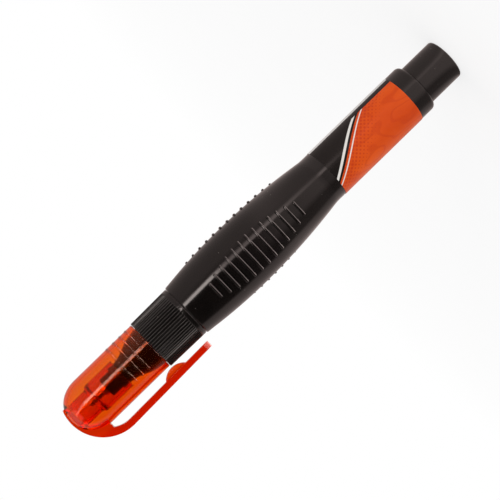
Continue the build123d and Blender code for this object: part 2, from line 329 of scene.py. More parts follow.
# %% [markdown]
# ## Black moulded plastic
# The barrel, collar and nose are three mouldings in warm black. Up close such plastic is never one
# flat colour: the pigment drifts, the gloss is cloudy, the skin has a fine orange peel, and a few
# specks of dust sit on it. One recipe makes all three, with its own gloss for each piece.

# %% Black finishes
pigment_scale = 90
haze_scale = 260
haze_edges = (0.25, 0.75)
peel_scale = 1500
dust_scale = 420
dust_edges = (0.035, 0.05)
dust_share = 0.22
dust_tone = (0.5, 0.45, 0.4, 1)


def black_plastic(name, dark, light, gloss, peel):
    """Warm black plastic between two tones, with a range of gloss and a peel as deep as given."""
    finish, tree, shader, place = new_finish(name)
    pigment = clouds(tree, place, pigment_scale, 4.0)
    body = blend(tree, pigment, (*dark, 1), (*light, 1))
    speck = add(tree, "ShaderNodeTexVoronoi")
    feed(tree, speck.inputs["Vector"], place)
    speck.inputs["Scale"].default_value = dust_scale
    dust = ease(tree, speck.outputs["Distance"], *dust_edges, dust_share, 0.0)
    tree.links.new(blend(tree, dust, body, dust_tone), shader.inputs["Base Color"])
    haze = ease(tree, noise(tree, place, haze_scale, 3.0), *haze_edges, *gloss)
    tree.links.new(haze, shader.inputs["Roughness"])
    relief(tree, shader, noise(tree, place, peel_scale), peel)
    return finish


barrel_black = black_plastic(
    "barrel_black",
    dark=(0.0045, 0.0034, 0.0030),
    light=(0.0075, 0.0056, 0.0050),
    gloss=(0.10, 0.16),
    peel=0.0015 * mm,
)
collar_black = black_plastic(
    "collar_black",
    dark=(0.0045, 0.0035, 0.0030),
    light=(0.0065, 0.0050, 0.0044),
    gloss=(0.12, 0.19),
    peel=0.002 * mm,
)
nose_black = black_plastic(
    "nose_black",
    dark=(0.0045, 0.0038, 0.0036),
    light=(0.0075, 0.0062, 0.0060),
    gloss=(0.16, 0.24),
    peel=0.003 * mm,
)
print("black finishes", barrel_black.name, collar_black.name, nose_black.name)

# %% [markdown]
# ## The belly's curve
# A blow-moulded squeeze bottle: a straight rear for the label, a belly made of two long arcs that
# meet at its fattest place, and a neck that the collar screws on. The grip ribs lie on the same
# belly, so its radius is a function of the height.

# %% Barrel sizes
rear_r = 7.36
shank_r = 5.45
belly_r = 9.45
belly_front_r = 8.12
neck_r = 6.66
neck_bore_r = 5.2
wall = 1.2
rear_length = 37.4
belly_rise_length = 28.6
neck_length = 10.0
belly_lip = 0.5
throat_length = 3.0
belly_start_z = shoulder_z + rear_length
belly_peak_z = belly_start_z + belly_rise_length
belly_end_z = neck_top_z - neck_length
belly_front_z = belly_end_z + belly_lip
throat_z = belly_end_z - throat_length
socket_z = shank_high + wall


def sagged(length, drop):
    """Radius of an arc that starts level and drops by a little over a length."""
    return (length**2 + drop**2) / (2 * drop)


def belly_radius(height):
    """Outer radius of the belly: one arc behind its peak and one in front."""
    behind = height < belly_peak_z
    length = belly_peak_z - belly_start_z if behind else belly_end_z - belly_peak_z
    arc_r = sagged(length, belly_r - (rear_r if behind else belly_front_r))
    return belly_r - arc_r + math.sqrt(arc_r**2 - (height - belly_peak_z) ** 2)


print("belly peak at", round(belly_peak_z, 2), "mm")

# %% [markdown]
# ## The barrel
# The whole bottle is one outline, turned, with its wall and its bore in the same loop. The neck's
# rows lie close together, because the thread is cut into them in a later step.

# %% Barrel outline
shoulder_round = 1.3
waist_round = 14.0
belly_lip_round = 0.4
neck_foot_round = 0.2
neck_top_round = 0.05
belly_count = 26
neck_count = 80
inner_count = 16
belly_rows = [(belly_radius(z), z) for z in between(belly_start_z, belly_end_z, belly_count)]
neck_rows = [(neck_r, z) for z in between(belly_front_z, neck_top_z, neck_count)]
inner_rows = [(belly_radius(z) - wall, z) for z in between(belly_start_z, throat_z, inner_count)]
barrel_points = outline(
    (shank_r, shoulder_z),
    (rear_r, shoulder_z, shoulder_round),
    (rear_r, belly_start_z, waist_round),
    *belly_rows,
    (belly_front_r, belly_front_z, belly_lip_round),
    (neck_r, belly_front_z, neck_foot_round),
    *neck_rows,
    (neck_r, neck_top_z, neck_top_round),
    (neck_bore_r, neck_top_z),
    (neck_bore_r, belly_end_z),
    (belly_radius(throat_z) - wall, throat_z),
    *reversed(inner_rows),
    (rear_r - wall, belly_start_z),
    (rear_r - wall, socket_z),
    (shank_r, shank_high),
)
barrel = turned("barrel_shell", barrel_points)
print("barrel outline has", len(barrel_points), "points")

# %% [markdown]
# ## Geometry Nodes for what repeats
# Thread, grooves, ribs and spring all follow a rule, so each is a Geometry Nodes tree with named
# inputs for its sizes. A tree ends with its instances made real and its finish set. Its result is
# then kept as a plain mesh, and the modifier goes.

# %% Building and running a tree
def start_tree(name, sizes):
    """A tree with a geometry input, one float input for each size, and a material input."""
    tree = bpy.data.node_groups.new(name, "GeometryNodeTree")
    face = tree.interface
    face.new_socket("Geometry", in_out="INPUT", socket_type="NodeSocketGeometry")
    for size in sizes:
        face.new_socket(size, in_out="INPUT", socket_type="NodeSocketFloat")
    face.new_socket("Finish", in_out="INPUT", socket_type="NodeSocketMaterial")
    face.new_socket("Geometry", in_out="OUTPUT", socket_type="NodeSocketGeometry")
    return tree, add(tree, "NodeGroupInput").outputs


def end_tree(tree, given, shape):
    """Ends a tree: instances made real, then the finish set."""
    real = add(tree, "GeometryNodeRealizeInstances")
    coat = add(tree, "GeometryNodeSetMaterial")
    out = add(tree, "NodeGroupOutput")
    tree.links.new(shape, real.inputs[0])
    tree.links.new(real.outputs[0], coat.inputs["Geometry"])
    tree.links.new(given["Finish"], coat.inputs["Material"])
    tree.links.new(coat.outputs[0], out.inputs[0])


def settle(piece):
    """Keeps what a piece's modifiers make as its own mesh, and removes them."""
    ready = piece.evaluated_get(bpy.context.evaluated_depsgraph_get())
    plain = bpy.data.meshes.new_from_object(ready)
    piece.modifiers.clear()
    piece.data = plain
    return piece


def run_tree(piece, tree, finish, sizes):
    """Runs a tree on a piece and keeps the result as a plain mesh."""
    modifier = piece.modifiers.new(tree.name, "NODES")
    modifier.node_group = tree
    values = {**sizes, "Finish": finish}
    for socket in tree.interface.items_tree:
        if socket.in_out == "INPUT" and socket.name in values:
            modifier[socket.identifier] = values[socket.name]
    return settle(piece)


print("made the helpers start_tree, end_tree, settle and run_tree")

# %% [markdown]
# ## Two moves that the trees share
# Grooves and threads are cut into a turned blank: a point is read as an angle, a radius and a
# height, and is then pulled straight towards the axis. Ribs and the spring are round bars, so they
# are a circle swept along a line.

# %% Cutting inwards and sweeping a circle
least_r = 0.1 * mm


def round_place(tree):
    """Where each point is round the axis: its angle, its radius and its three parts."""
    x, y, z = parts_of(tree, add(tree, "GeometryNodeInputPosition").outputs[0])
    return calc(tree, "ARCTAN2", y, x), flat_length(tree, x, y), (x, y, z)


def cut_inwards(tree, shape, radius, parts, depth):
    """Moves points straight towards the axis by a depth."""
    x, y, z = parts
    cut_share = calc(tree, "DIVIDE", depth, calc(tree, "MAXIMUM", radius, least_r))
    share = calc(tree, "SUBTRACT", 1.0, cut_share)
    joined = add(tree, "ShaderNodeCombineXYZ")
    for socket, part in zip(joined.inputs, (product(tree, x, share), product(tree, y, share), z)):
        tree.links.new(part, socket)
    move = add(tree, "GeometryNodeSetPosition")
    tree.links.new(shape, move.inputs["Geometry"])
    tree.links.new(joined.outputs[0], move.inputs["Position"])
    return move.outputs[0]


def swept_circle(tree, curve, radius, steps):
    """A node that sweeps a circle of a radius along a curve."""
    ring = add(tree, "GeometryNodeCurvePrimitiveCircle")
    ring.inputs["Resolution"].default_value = steps
    tree.links.new(radius, ring.inputs["Radius"])
    bar = add(tree, "GeometryNodeCurveToMesh")
    tree.links.new(curve, bar.inputs["Curve"])
    tree.links.new(ring.outputs[0], bar.inputs["Profile Curve"])
    return bar


print("made the helpers round_place, cut_inwards and swept_circle")

# %% [markdown]
# ## The screw thread on the neck
# The collar climbs 1.8 mm in each turn, so the thread has that pitch. A modelled helix would have
# to be joined to the neck; cutting the neck's own rows by a rule of angle and height keeps one
# clean skin. The thread fades at both ends, as a moulded one does.

# %% Thread tree
thread_fade = 0.6 * mm
thread_flank = (0.12, 0.24)


def thread_tree():
    """Cuts a screw thread into the skin outside a root radius."""
    tree, given = start_tree("neck_thread", ["Pitch", "Depth", "Start", "End", "Root radius"])
    angle, radius, parts = round_place(tree)
    z = parts[2]
    climbed = calc(tree, "DIVIDE", z, given["Pitch"])
    turn = calc(tree, "SUBTRACT", climbed, calc(tree, "DIVIDE", angle, math.tau))
    wave = calc(tree, "ABSOLUTE", calc(tree, "SUBTRACT", calc(tree, "FRACT", turn), 0.5))
    valley = ease(tree, wave, *thread_flank)
    fade_in = ease(tree, z, given["Start"], calc(tree, "ADD", given["Start"], thread_fade))
    fade_start = calc(tree, "SUBTRACT", given["End"], thread_fade)
    fade_out = ease(tree, z, fade_start, given["End"], 1.0, 0.0)
    on_skin = calc(tree, "GREATER_THAN", radius, given["Root radius"])
    depth = product(tree, valley, given["Depth"], on_skin, product(tree, fade_in, fade_out))
    end_tree(tree, given, cut_inwards(tree, given["Geometry"], radius, parts, depth))
    return tree


thread_sizes = {
    "Pitch": 1.8 * mm,
    "Depth": 0.42 * mm,
    "Start": (belly_end_z + 0.7) * mm,
    "End": (neck_top_z - 0.5) * mm,
    "Root radius": (neck_r - 0.05) * mm,
}
run_tree(barrel, thread_tree(), barrel_black, thread_sizes)
dress(smooth(barrel), barrel_black, "barrel", "barrel_black", "barrel")

# %% [markdown]
# ## The lines of the grip ribs
# Thirteen short ribs lie across the belly in each of three groups, longest in the middle. Each is
# half a round bar with round ends. The script draws only the line that each rib follows, with its
# points close together at both ends, where the bar has to be rounded.

# %% Rib lines
rib_r = 0.43
rib_pitch = 2.56
rib_rows = 13
rib_groups = 3
rib_front_angle = math.radians(-100)
rib_middle_sweep = math.radians(67)
rib_end_sweep = math.radians(33)
rib_middle_z = belly_peak_z - 3.55
rib_end_steps = 6
rib_run_steps = 14


def rib_shares(length):
    """Places along a rib from 0 to 1, close together where its ends are rounded."""
    tip = rib_r / length
    turns = [math.pi / 2 * step / rib_end_steps for step in range(rib_end_steps + 1)]
    ends = [tip * (1 - math.cos(turn)) for turn in turns]
    middle = between(tip, 1 - tip, rib_run_steps)
    return ends + middle + [1 - share for share in reversed(ends)]


def rib_lines():
    """A mesh of bare edges, one chain for each rib."""
    lines = bmesh.new()
    half_rows = (rib_rows - 1) / 2
    for row in range(rib_rows):
        height = rib_middle_z + (row - half_rows) * rib_pitch
        radius = belly_radius(height)
        taper = (abs(row - half_rows) / half_rows) ** 2
        sweep = rib_middle_sweep + (rib_end_sweep - rib_middle_sweep) * taper
        for group in range(rib_groups):
            first = rib_front_angle + group * math.tau / rib_groups - sweep / 2
            angles = [first + sweep * share for share in rib_shares(radius * sweep)]
            rounds = [(radius * math.cos(a), radius * math.sin(a), height) for a in angles]
            chain = [lines.verts.new(Vector(place) * mm) for place in rounds]
            for start, end in zip(chain, chain[1:]):
                lines.edges.new((start, end))
    return placed("grip_ribs", lines)


rib_guides = rib_lines()
print(rib_rows * rib_groups, "rib lines")

# %% [markdown]
# ## The grip ribs
# The tree sweeps a circle along all the lines at once. Near an end it shrinks the circle as a
# sphere would, so every bar ends in a ball, and the points that meet there are merged.

# %% Rib tree
rib_ring_steps = 14
weld_distance = 0.001 * mm


def rib_tree():
    """Sweeps a bar with round ends along every line of a mesh."""
    tree, given = start_tree("grip_ribs", ["Rib radius"])
    curve = add(tree, "GeometryNodeMeshToCurve")
    tree.links.new(given["Geometry"], curve.inputs[0])
    along = add(tree, "GeometryNodeSplineParameter").outputs["Length"]
    whole = add(tree, "GeometryNodeSplineLength").outputs["Length"]
    to_end = calc(tree, "MINIMUM", along, calc(tree, "SUBTRACT", whole, along))
    inside = ease(tree, calc(tree, "DIVIDE", to_end, given["Rib radius"]), 0.0, 1.0, 1.0, 0.0)
    scale = calc(tree, "SQRT", calc(tree, "SUBTRACT", 1.0, product(tree, inside, inside)))
    bar = swept_circle(tree, curve.outputs[0], given["Rib radius"], rib_ring_steps)
    tree.links.new(scale, bar.inputs["Scale"])
    welded = add(tree, "GeometryNodeMergeByDistance")
    welded.inputs["Distance"].default_value = weld_distance
    tree.links.new(bar.outputs[0], welded.inputs[0])
    end_tree(tree, given, welded.outputs[0])
    return tree


ribs = run_tree(rib_guides, rib_tree(), barrel_black, {"Rib radius": rib_r * mm})
dress(smooth(ribs, limit=60), barrel_black, "barrel", "barrel_black")

# %% [markdown]
# ## The tail plug
# A hollow post that closes the rear of the barrel and stands the pen up. Its end is a flat with a
# soft edge, and its shank is pressed into the barrel. A cylinder with a Boolean bore would do, but
# one turned outline gives the bore and the soft edge at once.

# %% Tail plug
post_r = 6.12
post_bore_r = 4.2
post_floor = 1.6
post_round = 0.6
plug_points = outline(
    (0, tail_low),
    (post_r, tail_low, post_round),
    (post_r, shoulder_z),
    (shank_r, shoulder_z),
    (shank_r, shank_high),
    (post_bore_r, shank_high),
    (post_bore_r, post_floor),
    (0, post_floor),
)
tail_plug = turned("tail_post", plug_points)
dress(smooth(tail_plug), barrel_black, "barrel", "barrel_black", "tail_plug")

# %% [markdown]
# ## Where the print goes
# The label is a thin film round the straight rear. Its print is worked out from the angle round the
# pen and the height along it, both taken from Object coordinates, so no picture has to be wrapped.
# The design is plain: an orange field, a dark slanted end with two pale lines, and dots.

# %% Places on the film
film_r = 7.46
field_edge = math.radians(38)
slant_along = 0.56
slant_across = 0.83
slant_start = 6.8


def film_place(tree, place):
    """A place on the film: its share of a turn, millimetres across and along, and its slant."""
    x, y, z = parts_of(tree, place)
    off_edge = calc(tree, "SUBTRACT", -field_edge, calc(tree, "ARCTAN2", y, x))
    turn = calc(tree, "FRACT", calc(tree, "DIVIDE", off_edge, math.tau))
    across = product(tree, turn, math.tau * film_r)
    along = product(tree, ease(tree, z, label_low * mm, label_high * mm), label_high - label_low)
    start = calc(tree, "ADD", product(tree, across, slant_across), slant_start)
    slant = calc(tree, "SUBTRACT", product(tree, along, slant_along), start)
    return turn, across, along, slant


print("one turn of the film is", round(math.tau * film_r, 1), "mm, seam and all")

# %% [markdown]
# ## The orange field
# Two oranges drift into each other, and faint contour lines follow the same kind of cloud, like the
# lines on a map. A screen of darker dots grows towards the slanted end, as a printer's tint does.

# %% Orange and dots
orange_tones = ((0.68, 0.066, 0.002, 1), (0.78, 0.095, 0.003, 1))
contour_tone = (0.56, 0.040, 0.002, 1)
contour_count = 9.0
contour_band = (0.06, 0.16, 0.35, 0.0)
dot_tone = (0.50, 0.030, 0.003, 1)
dot_share = 0.55
dot_pitch = 1.0
dot_growth = (-8.0, -1.0, 0.0, 0.42)
drift_scale = 110
drift_stretch = (1, 1, 0.5)
drift_edges = (0.35, 0.65)
contour_scale = 130
contour_stretch = (1, 1, 0.45)
dot_rim = (-0.05, 0.03, 1.0, 0.0)


def orange_field(tree, place):
    """Orange with a drift of tone and faint contour lines."""
    drift = ease(tree, noise(tree, place, drift_scale, 3.0, drift_stretch), *drift_edges)
    level = noise(tree, place, contour_scale, 1.0, contour_stretch)
    step = calc(tree, "FRACT", product(tree, level, contour_count))
    off_line = calc(tree, "ABSOLUTE", calc(tree, "SUBTRACT", step, 0.5))
    orange = blend(tree, drift, *orange_tones)
    return blend(tree, ease(tree, off_line, *contour_band), orange, contour_tone)


def dotted(tree, colour, across, along, slant):
    """A colour with a slanting screen of dots, larger towards the slanted end."""
    offs = []
    for operation in ("ADD", "SUBTRACT"):
        cells = calc(tree, "DIVIDE", calc(tree, operation, across, along), dot_pitch * math.sqrt(2))
        offs.append(calc(tree, "SUBTRACT", calc(tree, "FRACT", cells), 0.5))
    off_rim = calc(tree, "SUBTRACT", flat_length(tree, *offs), ease(tree, slant, *dot_growth))
    dots = ease(tree, off_rim, *dot_rim)
    return blend(tree, product(tree, dots, dot_share), colour, dot_tone)


print("dots every", dot_pitch, "mm")

# %% [markdown]
# ## The label's finish
# Over the field come the black end, the pale lines, the black back and a pale margin beside the
# seam, which also serves as a painted highlight along the film's lit edge. The film itself is
# satin with a thin clear coat, and a slow ripple shows that it is glued.

# %% Label print
field_share = 0.66
margin_highlight_shares = (0.80, 0.955)
black_tone = (0.012, 0.009, 0.008, 1)
line_tone = (0.86, 0.83, 0.78, 1)
margin_highlight_tone = (0.66, 0.64, 0.62, 1)
pale_lines = ((-0.75, 0.16), (1.0, 0.34))
line_blur = 0.05
line_cover = 0.92
end_blur = 0.03
field_blur = 0.001
satin_scale = 380
satin = (0.30, 0.42)
ripple_scale = 240
ripple = 0.02 * mm


def label_print():
    """The film's finish, with the whole print on it and a painted highlight at the pale margin."""
    finish, tree, shader, place = new_finish("label_film")
    turn, across, along, slant = film_place(tree, place)
    printed = dotted(tree, orange_field(tree, place), across, along, slant)
    printed = blend(tree, ease(tree, slant, -end_blur, end_blur), printed, black_tone)
    for offset, width in pale_lines:
        off_line = calc(tree, "ABSOLUTE", calc(tree, "SUBTRACT", slant, offset))
        on_line = ease(tree, off_line, width - line_blur, width + line_blur, line_cover, 0.0)
        printed = blend(tree, on_line, printed, line_tone)
    off_field = ease(tree, turn, field_share - field_blur, field_share + field_blur)
    printed = blend(tree, off_field, printed, black_tone)
    # Pale margin beside the seam, which is also a painted highlight along the film's lit edge.
    past_start = calc(tree, "GREATER_THAN", turn, margin_highlight_shares[0])
    before_end = calc(tree, "LESS_THAN", turn, margin_highlight_shares[1])
    printed = blend(tree, product(tree, past_start, before_end), printed, margin_highlight_tone)
    tree.links.new(printed, shader.inputs["Base Color"])
    tree.links.new(clouds(tree, place, satin_scale, 3.0, *satin), shader.inputs["Roughness"])
    shader.inputs["Specular IOR Level"].default_value = 0.15
    shader.inputs["Coat Weight"].default_value = 0.15
    shader.inputs["Coat Roughness"].default_value = 0.12
    relief(tree, shader, noise(tree, place, ripple_scale), ripple)
    return finish


label_film = label_print()
print("print field covers", round(field_share * 360), "degrees")

# %% [markdown]
# ## The label's film
# A tenth of a millimetre of film, turned almost all the way round. A flat sheet could be bent with
# a modifier, but a part turn is round from the start and has its thickness. Its two ends, each
# closed by a face, leave a narrow seam on the far side.

# %% Label film
seam_angle = math.radians(40)
seam_gap = math.radians(8)
film_edge = 0.03
film_points = outline(
    (rear_r, label_low),
    (film_r, label_low, film_edge),
    (film_r, label_high, film_edge),
    (rear_r, label_high),
)
label = turned("label_wrap", film_points, start=seam_angle, sweep=math.tau - seam_gap)
dress(smooth(label, limit=50), label_film, "barrel", "label_film", "label")

# %% [markdown]
# ## The knurled collar
# The screw collar has sixty straight grooves for the fingers, open at the front and stopped by a
# smooth band at the rear. The blank is turned with twelve steps to each groove, and has a few rows
# where the grooves begin.

# %% Collar blank
collar_front_r = 7.7
collar_rear_r = 7.88
collar_bore_r = 6.72
collar_lip_r = 6.06
collar_lip_z = collar_high - 1.4
band_z = collar_low + 1.25
groove_count = 60
groove_steps = 12
groove_root_r = collar_front_r - 0.36
groove_row_offsets = (-0.05, 0.05, 0.15, 0.25)
rear_round = 0.25
front_round = 0.2
lip_round = 0.15


def collar_side(height):
    """Radius of the collar's tapering side."""
    share = (height - collar_low) / (collar_high - collar_low)
    return collar_rear_r + (collar_front_r - collar_rear_r) * share


groove_rows = [*[band_z + offset for offset in groove_row_offsets], collar_high - 0.6]
collar_points = outline(
    (collar_bore_r, collar_low),
    (collar_rear_r, collar_low, rear_round),
    *[(collar_side(z), z) for z in groove_rows],
    (collar_front_r, collar_high, front_round),
    (groove_root_r, collar_high),
    (collar_lip_r, collar_high, lip_round),
    (collar_lip_r, collar_lip_z),
    (collar_bore_r, collar_lip_z),
)
collar = turned("screw_collar", collar_points, steps=groove_count * groove_steps)
print("collar blank has", len(collar.data.vertices), "points")

# %% [markdown]
# ## The collar's grooves
# The tree pulls in the points that lie in a groove, by a rounded wave of the angle, so the grooves
# are part of one clean skin. Sixty cut bars would give the same shape with many more seams.

# %% Groove tree
groove_power = 1.3
groove_run = 0.25 * mm


def groove_tree():
    """Cuts rounded grooves down to a root radius, from a start height on."""
    tree, given = start_tree("collar_grooves", ["Count", "Root radius", "Start"])
    angle, radius, parts = round_place(tree)
    turn = calc(tree, "DIVIDE", product(tree, angle, given["Count"]), math.tau)
    wave = calc(tree, "COSINE", product(tree, turn, math.tau))
    valley = calc(tree, "POWER", calc(tree, "MULTIPLY_ADD", wave, -0.5, 0.5), groove_power)
    fade = ease(tree, parts[2], given["Start"], calc(tree, "ADD", given["Start"], groove_run))
    spare = calc(tree, "MAXIMUM", calc(tree, "SUBTRACT", radius, given["Root radius"]), 0.0)
    depth = product(tree, spare, product(tree, valley, fade))
    end_tree(tree, given, cut_inwards(tree, given["Geometry"], radius, parts, depth))
    return tree


groove_sizes = {
    "Count": float(groove_count),
    "Root radius": groove_root_r * mm,
    "Start": band_z * mm,
}
run_tree(collar, groove_tree(), collar_black, groove_sizes)
print("collar has", groove_count, "grooves")

# %% [markdown]
# ## Painted highlights on the crests
# The crests between the grooves are painted a little paler, a painted highlight that leaves the
# grooves darker as if shaded, which is what makes the grooves read as fine lines. The finish finds
# a crest by its radius, so the painted highlight follows the shape.

# %% Painted highlights on the crests
crest_highlight_depths = (-0.11 * mm, -0.03 * mm)
crest_highlight_start = (band_z * mm, (band_z + 0.3) * mm)
crest_highlight_tone = (0.048, 0.040, 0.036, 1)
crest_highlight_share = 0.32


def paint_crest_highlights(finish):
    """Paints the crests between the grooves paler, as a painted highlight."""
    tree = finish.node_tree
    colour = tree.nodes["Principled BSDF"].inputs["Base Color"]
    body = colour.links[0].from_socket
    x, y, z = parts_of(tree, tree.nodes["Texture Coordinate"].outputs["Object"])
    taper = (collar_front_r - collar_rear_r) / (collar_high - collar_low)
    side = calc(tree, "MULTIPLY_ADD", z, taper, (collar_rear_r - taper * collar_low) * mm)
    crest = ease(tree, calc(tree, "SUBTRACT", flat_length(tree, x, y), side), *crest_highlight_depths)
    share = product(tree, crest, ease(tree, z, *crest_highlight_start), crest_highlight_share)
    # Painted highlight: the crests get a paler colour, while the grooves keep the dark one.
    tree.links.new(blend(tree, share, body, crest_highlight_tone), colour)


paint_crest_highlights(collar_black)
dress(smooth(collar, limit=50), collar_black, "collar", "collar_black", "knurled_collar")

# %% [markdown]
# ## The nose's curve
# A bell-shaped nose in two arcs that run into each other. The first starts straight at the foot,
# and the second ends straight at the front, so both meet with the same slope halfway.

# %% Nose sizes
nose_base_r = 6.0
bell_front_r = 3.35
bell_low = collar_high + 0.5
bead_r = 0.35
bead_z = bell_low + bead_r
bead_reach = 6.2
ring_r = 3.5
ring_high = bell_high + 1.2
snout_r = 2.9
chamber_r = 2.3
tip_bore_r = 1.6
plug_r = neck_bore_r - 1.1
flange_r = 6.61
flange_high = flange_z + 1.35


def bell_radius(height):
    """Radius of the bell: an arc that starts straight, then one that ends straight."""
    half = (bell_high - bell_low) / 2
    arc_r = sagged(half, (nose_base_r - bell_front_r) / 2)
    if height < bell_low + half:
        return nose_base_r - arc_r + math.sqrt(arc_r**2 - (height - bell_low) ** 2)
    return bell_front_r + arc_r - math.sqrt(arc_r**2 - (bell_high - height) ** 2)


print("bell from", round(bell_low, 2), "to", round(bell_high, 2), "mm")

# %% [markdown]
# ## The nose
# The bell has a bead at its foot that holds the cap, a ring that the cap's sleeve closes on, and a
# short snout for the metal tip. Separate rings joined to a bell would leave seams, so all of it, the
# chamber for the spring too, is one turned outline.

# %% Nose
ring_rear_round = 0.12
ring_front_round = 0.25
snout_foot_round = 0.15
snout_round = 0.35
bead_count = 9
bell_count = 30
bead_centre_r = bead_reach - bead_r
bead_half = math.acos((nose_base_r - bead_centre_r) / bead_r)
bead_angles = between(-bead_half, bead_half, bead_count)
bead_rows = [(bead_centre_r + bead_r * math.cos(a), bead_z + bead_r * math.sin(a)) for a in bead_angles]
bell_rows = [(bell_radius(z), z) for z in between(bell_low + 2 * bead_r, bell_high, bell_count)]
nose_points = outline(
    (chamber_r, seat_low),
    (plug_r, flange_z),
    (flange_r, flange_z),
    (flange_r, flange_high),
    (nose_base_r, flange_high),
    *bead_rows,
    *bell_rows,
    (bell_front_r, bell_high),
    (ring_r, bell_high, ring_rear_round),
    (ring_r, ring_high, ring_front_round),
    (snout_r, ring_high, snout_foot_round),
    (snout_r, snout_high, snout_round),
    (tip_bore_r, snout_high),
    (tip_bore_r, bell_high),
    (chamber_r, bell_high),
)
nose = turned("bell_nose", nose_points)
dress(smooth(nose), nose_black, "head", "nose_black", "nose_cone")

# %% [markdown]
# ## Turned metal
# The tip is a nickelled bush with a steel tube and pin. Turned metal shows faint rings from the
# tool, so the noise is squeezed along the axis, and the gloss is drawn out round it.

# %% Metal finishes
ring_stretch = (0.02, 0.02, 1)
ring_edges = (0.25, 0.75)
worn_scale = 600
worn_share = 0.86


def turned_metal(name, colour, gloss, rings, ring_depth):
    """Metal with rings from the tool: so many to a metre, and as deep as given."""
    finish, tree, shader, place = new_finish(name)
    marks = noise(tree, place, rings, 2.0, ring_stretch)
    worn = tuple(part * worn_share for part in colour)
    tone = blend(tree, clouds(tree, place, worn_scale), (*colour, 1), (*worn, 1))
    tree.links.new(tone, shader.inputs["Base Color"])
    tree.links.new(ease(tree, marks, *ring_edges, *gloss), shader.inputs["Roughness"])
    shader.inputs["Metallic"].default_value = 1.0
    shader.inputs["Anisotropic"].default_value = 0.3
    relief(tree, shader, marks, ring_depth)
    return finish


bright_nickel = turned_metal("bright_nickel", (0.78, 0.77, 0.75), (0.10, 0.20), 9000, 0.003 * mm)
tip_steel = turned_metal("tip_steel", (0.66, 0.66, 0.65), (0.18, 0.32), 7000, 0.004 * mm)
spring_steel = turned_metal("spring_steel", (0.60, 0.60, 0.60), (0.16, 0.30), 2500, 0.003 * mm)
print("metal finishes", bright_nickel.name, tip_steel.name, spring_steel.name)

# %% [markdown]
# ## The metal bush
# The bush is pressed into the snout and holds the tube. In front of its rim it is a cone with a
# slight swell, and a small recess round the tube draws a dark ring there. A plain cone would look
# cut from paper, so its side is an arc.

# %% Tip bush
tip_steps = 96
rim_r = 1.82
rim_high = snout_high + 0.3
rim_round = 0.06
cone_top_r = 1.36
cone_round = 0.04
recess_r = 1.24
recess_z = holder_high - 0.3
tube_r = 1.08
cone_count = 9


def cone_radius(height):
    """Radius of the bush's rounded cone."""
    arc_r = sagged(holder_high - rim_high, rim_r - cone_top_r)
    return rim_r - arc_r + math.sqrt(arc_r**2 - (height - rim_high) ** 2)


cone_rows = [(cone_radius(z), z) for z in between(rim_high, holder_high - rim_round, cone_count)]
holder_points = outline(
    (tube_r, bell_high),
    (tip_bore_r, bell_high),
    (tip_bore_r, snout_high),
    (rim_r, snout_high, rim_round),
    *cone_rows,
    (cone_top_r, holder_high, cone_round),
    (recess_r, holder_high, cone_round),
    (recess_r, recess_z),
    (tube_r, recess_z),
)
holder = turned("tip_bush", holder_points, steps=tip_steps)
dress(smooth(holder), bright_nickel, "head", "bright_nickel", "tip_holder")

# %% [markdown]
# ## The writing tube
# A steel tube with a fine groove behind its mouth. Its mouth has an inner lip that stops the pin,
# and a soft outer edge that glides on paper. Bevels on a plain tube would round every edge alike; in
# the outline each edge has its own round.

# %% Writing tube
tube_bore_r = 0.72
tube_groove_high = tube_high - 0.5
tube_groove_low = tube_groove_high - 0.26
tube_groove_r = tube_r - 0.09
mouth_r = 0.46
lip_low = tube_high - 0.55
groove_rear_round = 0.04
groove_root_round = 0.03
groove_front_round = 0.05
tube_end_round = 0.18
bore_round = 0.06
tube_points = outline(
    (tube_bore_r, bell_high),
    (tube_r, bell_high),
    (tube_r, tube_groove_low, groove_rear_round),
    (tube_groove_r, tube_groove_low, groove_root_round),
    (tube_groove_r, tube_groove_high, groove_root_round),
    (tube_r, tube_groove_high, groove_front_round),
    (tube_r, tube_high, tube_end_round),
    (mouth_r, tube_high, bore_round),
    (mouth_r, lip_low),
    (tube_bore_r, lip_low),
)
tube = turned("writing_tube", tube_points, steps=tip_steps)
dress(smooth(tube), tip_steel, "head", "tip_steel", "tip_tube")

# %% [markdown]
# ## The valve pin
# The pin stands a little out of the tube. A stop on it meets the tube's lip from inside, which
# closes the valve and keeps the pin from falling out. It is turned too, with its stop, because it
# moves as one piece.

# %% Valve pin
needle_r = 0.4
needle_round = 0.15
stop_r = 0.62
stop_high = lip_low - 0.05
stop_low = stop_high - 0.7
needle_steps = 64
needle_points = outline(
    (0, needle_low),
    (needle_r, needle_low),
    (needle_r, stop_low),
    (stop_r, stop_low),
    (stop_r, stop_high),
    (needle_r, stop_high),
    (needle_r, needle_high, needle_round),
    (0, needle_high),
)
needle = turned("valve_pin", needle_points, steps=needle_steps)
dress(smooth(needle), tip_steel, "needle", "tip_steel", "valve_needle")

# %% [markdown]
# ## The valve spring
# A coil of fine wire closes the valve. A spiral curve with a circle swept along it is exactly how
# such a spring is wound.

# %% Spring tree
coil_steps = 28
wire_steps = 12


def spring_tree():
    """Winds a wire into a coil that stands on a base height."""
    sizes = ["Coil radius", "Wire radius", "Turns", "Base height", "Rise"]
    tree, given = start_tree("valve_coil", sizes)
    coil = add(tree, "GeometryNodeCurveSpiral")
    coil.inputs["Resolution"].default_value = coil_steps
    tree.links.new(given["Turns"], coil.inputs["Rotations"])
    tree.links.new(given["Rise"], coil.inputs["Height"])
    for end in ("Start Radius", "End Radius"):
        tree.links.new(given["Coil radius"], coil.inputs[end])
    lifted = add(tree, "GeometryNodeTransform")
    offset = add(tree, "ShaderNodeCombineXYZ")
    tree.links.new(given["Base height"], offset.inputs[2])
    tree.links.new(coil.outputs[0], lifted.inputs["Geometry"])
    tree.links.new(offset.outputs[0], lifted.inputs["Translation"])
    wire = swept_circle(tree, lifted.outputs[0], given["Wire radius"], wire_steps)
    wire.inputs["Fill Caps"].default_value = True
    end_tree(tree, given, wire.outputs[0])
    return tree


print("a turn of the coil has", coil_steps, "steps")
